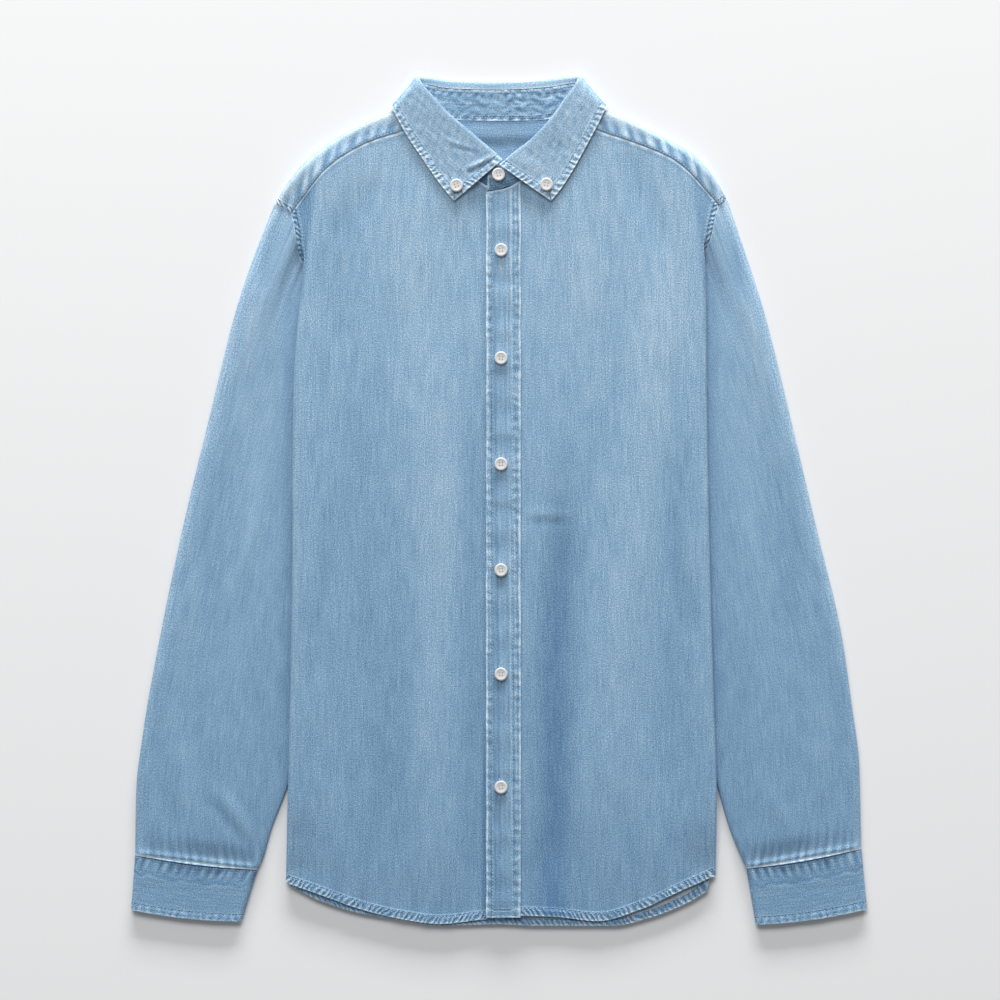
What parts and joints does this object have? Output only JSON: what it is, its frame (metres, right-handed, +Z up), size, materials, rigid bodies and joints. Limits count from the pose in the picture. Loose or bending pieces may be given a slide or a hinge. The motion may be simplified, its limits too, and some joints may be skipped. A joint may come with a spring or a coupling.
{
  "type": "denim shirt",
  "caption": "Button-down long-sleeved shirt in light washed denim, laid flat face up with its sleeves beside the body, curved shirt-tail hem, yoke, placket and cuffs",
  "frame": {"origin": "centre of the bounding box at the surface the shirt lies on", "axes": "+Y runs from the hem to the collar, +X towards the wearer's left sleeve, +Z up from the surface through the front"},
  "size_m": [0.6776, 0.7819, 0.0145],
  "materials": {
    "denim": "light washed twill, matt, with pale worn seams",
    "button": "off-white moulded resin, soft gloss"
  },
  "bodies": {
    "root": {"back": "denim", "button_collar_left": "button", "button_collar_right": "button", "button_front_1": "button", "button_front_2": "button", "button_front_3": "button", "button_front_4": "button", "button_front_5": "button", "button_front_6": "button", "button_stand": "button", "collar_leaf": "denim", "collar_stand": "denim", "cuff_left": "denim", "cuff_right": "denim", "front_left": "denim", "front_right": "denim", "placket": "denim", "sleeve_left": "denim", "sleeve_right": "denim", "yoke": "denim", "yoke_facing": "denim"}
  },
  "joints": []
}
